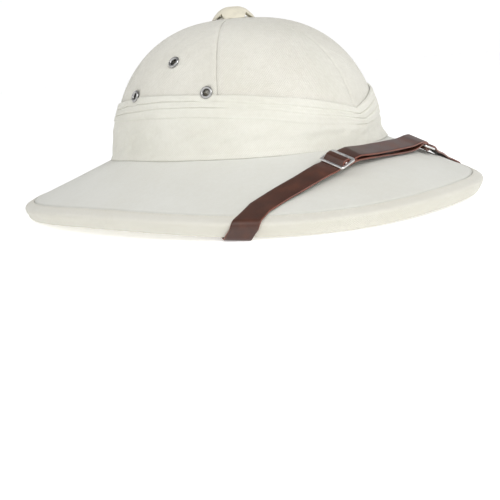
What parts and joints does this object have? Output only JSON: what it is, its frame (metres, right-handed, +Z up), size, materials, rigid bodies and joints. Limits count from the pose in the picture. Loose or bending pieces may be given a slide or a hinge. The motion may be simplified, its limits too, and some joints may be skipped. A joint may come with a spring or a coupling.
{
  "type": "pith helmet",
  "caption": "Pith helmet with cream cloth cover, wrapped pleated band, painted vent cap, nickel eyelets and a brown leather chin strap worn over the brim",
  "frame": {"origin": "centre of the rim's outline in plan, on the surface the rim rests on", "axes": "+X to the wearer's left, +Y to the rear, so the hat faces -Y, and +Z up through the crown"},
  "size_m": [0.3198, 0.3803, 0.1538],
  "materials": {
    "cover_cloth": "cream cotton twill",
    "lining_cloth": "plain cotton over pith",
    "cap_paint": "cream paint, satin",
    "nickel": "nickel plate",
    "strap_leather": "dark brown smooth leather, low sheen"
  },
  "bodies": {
    "root": {"pith_body": "lining_cloth", "crown_panel_front_right": "cover_cloth", "crown_panel_side_right": "cover_cloth", "crown_panel_rear_right": "cover_cloth", "crown_panel_front_left": "cover_cloth", "crown_panel_side_left": "cover_cloth", "crown_panel_rear_left": "cover_cloth", "brim_cover": "cover_cloth", "rim_binding": "cover_cloth", "puggaree": "cover_cloth", "vent_cap": "cap_paint", "eyelet_right_front": "nickel", "eyelet_right_top": "nickel", "eyelet_right_rear": "nickel", "eyelet_left_front": "nickel", "eyelet_left_top": "nickel", "eyelet_left_rear": "nickel", "strap_right": "strap_leather", "strap_left": "strap_leather", "buckle_right": "nickel", "buckle_left": "nickel", "anchor_right": "nickel", "anchor_left": "nickel"}
  },
  "joints": []
}
